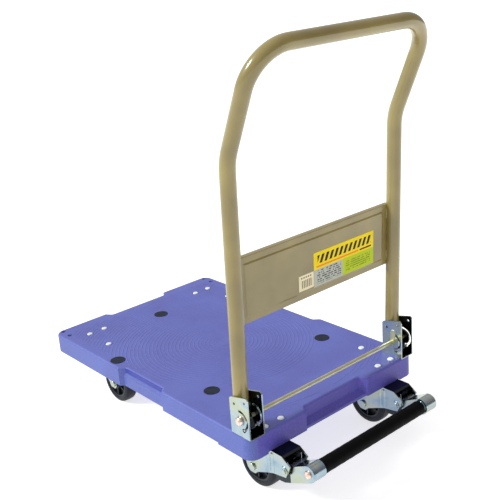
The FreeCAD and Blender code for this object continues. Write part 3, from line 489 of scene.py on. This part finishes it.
for end in ("front", "rear"):
    for side in SIDES:
        node = f"{end}_tyre_{side}"
        low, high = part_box(node)
        core_low, core_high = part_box(f"{end}_wheel_core_{side}")
        half, core_half = (high - low) / 2, (core_high - core_low) / 2
        grid = turned(tyre_profile(half.x, core_half.x, half.y), (low + high) / 2, 96)
        tyre = piece_from_grids(f"{end}_moulded_tyre_{side}", [grid], True, False)
        place(tyre, f"{end}_wheel_{side}", materials["tyre_rubber"], 40.0, [node])


# ---------------------------------------------------------------- brake bar and springs

def sleeve_profile(outer, inner, half):
    """Section of the foot sleeve: rolled ends, long body with shallow grip rings."""
    body = np.linspace(-half + 5 * MM, half - 5 * MM, 60)
    rings = outer - 0.15 * MM - 0.15 * MM * np.cos(body / (6 * MM) * 2 * math.pi)
    end_y = half - np.array([3.4, 1.6, 0.4, 0.0]) * MM
    end_r = outer - np.array([0.0, 0.4, 1.2, 2.2]) * MM
    right = np.stack([end_r, end_y], -1)
    left = right[::-1] * np.array([1.0, -1.0])
    bore = np.array([[inner, half], [inner, -half]])
    return np.concatenate([np.stack([rings, body], -1), right, bore, left])


low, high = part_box("pedal_sleeve")
tube_low, tube_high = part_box("pedal_tube")
half, tube_half = (high - low) / 2, (tube_high - tube_low) / 2
grid = turned(sleeve_profile(half.x, tube_half.x, half.y), (low + high) / 2, 72)
sleeve = piece_from_grids("foot_sleeve", [grid], True, False)
place(sleeve, "brake_pedal", materials["sleeve_rubber"], 40.0, ["pedal_sleeve"])


# ---------------------------------------------------------------- handle welds

def weld_bead(start, direction, length, normal):
    """Short fillet weld: a bar whose radius ripples along its run and tapers at both ends."""
    share = np.linspace(0, 1, 41)[:, None]
    path = np.array(start)[None] + share * length * np.array(direction)[None]
    ripple = 1 + 0.12 * np.abs(np.sin(share[:, 0] * 9 * math.pi))
    taper = np.clip(np.sin(share[:, 0] * math.pi) * 4, 0.15, 1.0)
    return swept(path, np.array(normal), 1.9 * MM * ripple * taper)


def panel_welds():
    """Beads where the cross panel meets the two legs, at its top and bottom corners."""
    low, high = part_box("handle_panel")
    bracket_low, bracket_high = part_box("hinge_bracket_right")
    leg_y = (bracket_low.y + bracket_high.y) / 2
    slope = math.tan(HANDLE_LEAN)
    beads = []
    for side in (-1, 1):
        for z in (low.z + 8 * MM, high.z - 32 * MM):
            x = high.x - 1.6 * MM - (high.z - z) * slope
            beads.append(weld_bead((x, side * (leg_y - 14 * MM), z), (slope, 0, 1), 24 * MM, (1, 0, 0)))
    return piece_from_grids("panel_welds", beads, False, True)


place(panel_welds(), "handle", materials["khaki_paint"], 60.0)


# ---------------------------------------------------------------- floor, light, camera

def studio_floor():
    """Large flat floor under the wheels."""
    half = 40.0
    mesh = bpy.data.meshes.new("floor")
    corners = [(-half, -half, 0), (half, -half, 0), (half, half, 0), (-half, half, 0)]
    mesh.from_pydata(corners, [], [(0, 1, 2, 3)])
    floor = bpy.data.objects.new("floor", mesh)
    bpy.context.scene.collection.objects.link(floor)
    material, tree, inputs, where = new_material("pale_floor", Roughness=0.9, Specular_IOR_Level=0.0,
                                                 Emission_Color=linear("#ffffff"), Emission_Strength=0.68)
    cloud = add(tree, "ShaderNodeTexNoise", {"Vector": where, "Scale": per_metre(1700)})
    tone = add(tree, "ShaderNodeValToRGB", {"Fac": cloud}, stops=[(0.2, "#cfcfcf"), (0.8, "#d4d4d4")])
    tree.links.new(tone, inputs["Base Color"])
    mesh.materials.append(material)


def key_light():
    """Broad soft light from the left of the view, above the deck."""
    lamp = bpy.data.lights.new("key", "SUN")
    lamp.energy = 2.4
    lamp.angle = math.radians(15)
    lamp.color = (0.93, 1.0, 0.9)
    light = bpy.data.objects.new("key", lamp)
    light.rotation_euler = Vector((-0.42, -0.68, 0.62)).to_track_quat("Z", "Y").to_euler()
    bpy.context.scene.collection.objects.link(light)


def sky():
    """Studio surround: white overhead and on the left, dimmer low down at the back and right."""
    world = bpy.data.worlds.new("studio")
    world.use_nodes = True
    tree = world.node_tree
    background = tree.nodes["Background"]
    where = add(tree, "ShaderNodeTexCoord", output="Generated")
    brightest = (-0.5, -0.6, 0.62)
    toward = add(tree, "ShaderNodeVectorMath", {0: where, 1: brightest}, "Value", operation="DOT_PRODUCT")
    fade = add(tree, "ShaderNodeMapRange", {"Value": toward, "From Min": -0.7, "From Max": 0.8})
    colour = add(tree, "ShaderNodeValToRGB", {"Fac": fade},
                 stops=[(0.0, "#686d78"), (0.45, "#c2bcc0"), (1.0, "#ffffff")])
    tree.links.new(colour, background.inputs["Color"])
    background.inputs["Strength"].default_value = 0.9
    bpy.context.scene.world = world


def camera():
    """Lens of 63 mm on a 36 mm sensor, above and behind the handle's left, rolled a little."""
    azimuth, elevation, roll = 0.87151, 0.34561, -0.07445
    back = Vector((math.sin(azimuth) * math.cos(elevation), -math.cos(azimuth) * math.cos(elevation),
                   math.sin(elevation)))
    right = (-back).cross(Vector((0, 0, 1))).normalized()
    up = right.cross(-back)
    turned_right = right * math.cos(roll) + up * math.sin(roll)
    turned_up = up * math.cos(roll) - right * math.sin(roll)
    data = bpy.data.cameras.new("camera")
    data.lens, data.sensor_width = 63.12, 36.0
    data.clip_end = 200.0
    view = bpy.data.objects.new("camera", data)
    view.matrix_world = Matrix.Translation((1.3979, -1.1204, 1.0350)) @ Matrix(
        (turned_right, turned_up, back)).transposed().to_4x4()
    bpy.context.scene.collection.objects.link(view)
    bpy.context.scene.camera = view


studio_floor()
key_light()
sky()
camera()
bpy.context.scene.view_settings.view_transform = "Standard"
